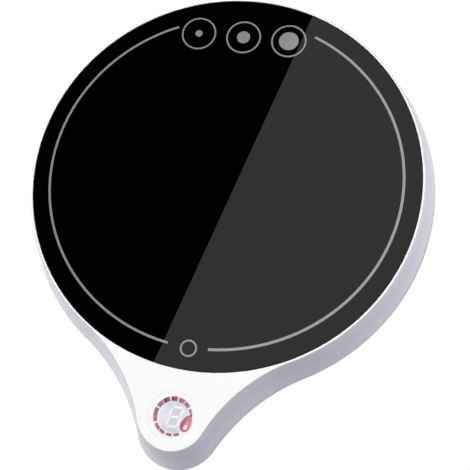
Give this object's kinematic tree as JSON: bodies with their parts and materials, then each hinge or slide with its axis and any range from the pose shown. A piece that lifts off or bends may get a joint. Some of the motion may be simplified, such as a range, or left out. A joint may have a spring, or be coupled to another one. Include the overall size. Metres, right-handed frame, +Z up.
{
  "type": "electric mug warmer",
  "caption": "Slim electric mug warmer: round glass hot plate in a drop-shaped housing with a display and touch key on its tail.",
  "frame": {"origin": "under the middle of the outline's bounding box, on the surface that the feet stand on", "axes": "+Z up; the tail with the display points along -Y and the power socket along +Y; the part is symmetric about the plane X = 0 apart from the touch symbol and the electronics"},
  "size_m": [0.1074, 0.127, 0.014],
  "materials": {
    "plate_glass": "polished black heat-proof glass",
    "housing_white": "satin white moulded plastic",
    "base_white": "fine-grained white moulded plastic",
    "lens_clear": "milky window, polished",
    "foot_rubber": "matte",
    "seal_silicone": "translucent silicone",
    "spreader_aluminium": "rolled",
    "film_polyimide": "amber film",
    "track_alloy": "etched foil",
    "mica": "pressed flakes",
    "felt": "needled fibre felt",
    "clamp_steel": "zinc plated sheet",
    "screw_steel": "nickel plated",
    "sensor_epoxy": "dipped bead",
    "lead_sleeve": "woven glass-fibre sleeve",
    "fuse_ceramic": "fired",
    "board_green": "solder mask",
    "chip_black": "moulded epoxy",
    "capacitor_ceramic": "fired",
    "spring_steel": "drawn wire",
    "baffle_white": "white reflector",
    "led_red": "clear resin",
    "diffuser_milk": "milky film",
    "inlet_metal": "nickel plated",
    "inlet_black": "moulded",
    "wire_red": "insulated wire"
  },
  "bodies": {
    "root": {"glass_plate": "plate_glass", "top_cover": "housing_white", "base_cover": "base_white", "display_lens": "lens_clear", "rubber_feet": "foot_rubber", "tail_foot": "foot_rubber", "glass_gasket": "seal_silicone", "heat_spreader": "spreader_aluminium", "heater_film": "film_polyimide", "heating_track": "track_alloy", "mica_sheet": "mica", "insulation_felt": "felt", "clamp_plate": "clamp_steel", "clamp_screws": "screw_steel", "thermistor": "sensor_epoxy", "sensor_leads": "lead_sleeve", "thermal_fuse": "fuse_ceramic", "heater_leads": "lead_sleeve", "control_board": "board_green", "microcontroller": "chip_black", "power_transistor": "chip_black", "board_capacitors": "capacitor_ceramic", "board_screws": "screw_steel", "touch_spring": "spring_steel", "light_baffle": "baffle_white", "display_leds": "led_red", "diffuser_film": "diffuser_milk", "inlet_board": "board_green", "inlet_shell": "inlet_metal", "inlet_tongue": "inlet_black", "inlet_board_screws": "screw_steel", "power_wires": "wire_red", "housing_screws": "screw_steel"}
  },
  "joints": []
}
